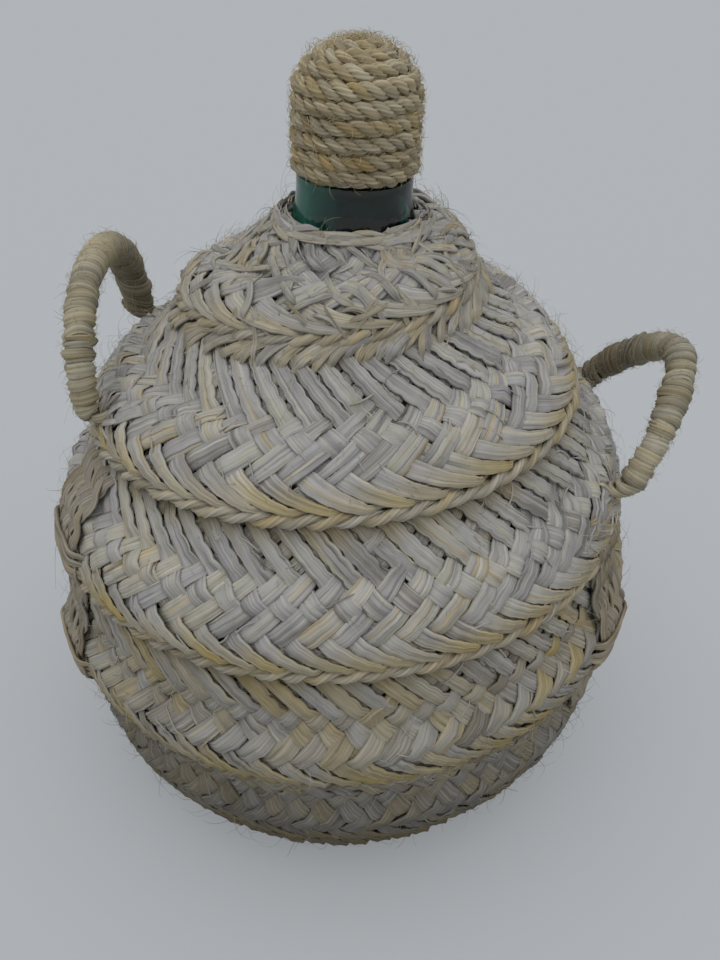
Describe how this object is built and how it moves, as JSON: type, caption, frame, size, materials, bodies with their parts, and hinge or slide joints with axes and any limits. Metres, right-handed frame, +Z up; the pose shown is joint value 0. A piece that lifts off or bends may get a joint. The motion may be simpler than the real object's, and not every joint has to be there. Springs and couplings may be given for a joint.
{
  "type": "esparto-covered demijohn",
  "caption": "Round glass demijohn sewn into a cover of spiral esparto plait, with two corded rope handles and a corded stopper.",
  "frame": {"origin": "centre of the coiled base, in the plane that it rests on", "axes": "+Z up along the axis of the bottle, the two handles on X, the front of the picture towards -Y"},
  "size_m": [0.3361, 0.3198, 0.397],
  "materials": {
    "green_glass": "dark green blown glass, glossy",
    "base_esparto": "coiled esparto plait, dry and matt",
    "weathered_esparto": "plaited esparto leaves, weathered grey-gold",
    "sewing_cord": "twisted esparto cord",
    "strap_esparto": "plaited esparto strip, brown and dry",
    "handle_rope": "laid esparto rope",
    "winding_cord": "esparto cord wound close, golden",
    "cork": "cut cork, bare",
    "stopper_cord": "plaited esparto cord wound in rows"
  },
  "bodies": {
    "vessel": {"glass_bottle": "green_glass", "base_coil": "base_esparto", "plait_cover": "weathered_esparto", "seam_cord": "sewing_cord", "left_front_strap": "strap_esparto", "left_back_strap": "strap_esparto", "right_front_strap": "strap_esparto", "right_back_strap": "strap_esparto"},
    "left_handle": {"left_handle_rope": "handle_rope", "left_handle_winding": "winding_cord"},
    "right_handle": {"right_handle_rope": "handle_rope", "right_handle_winding": "winding_cord"},
    "stopper": {"stopper_cork": "cork", "stopper_cord": "stopper_cord"}
  },
  "joints": [
    {"name": "stopper_pull", "type": "slide", "parent": "vessel", "child": "stopper", "axis": [0, 0, 1], "range_m": [0, 0.05]},
    {"name": "left_handle_rock", "type": "hinge", "parent": "vessel", "child": "left_handle", "pos_m": [-0.12282, 0, 0.24014], "axis": [0, -1, 0], "range_deg": [-11, 44]},
    {"name": "right_handle_rock", "type": "hinge", "parent": "vessel", "child": "right_handle", "pos_m": [0.14047, 0, 0.20828], "axis": [0, 1, 0], "range_deg": [-42, 13]}
  ]
}
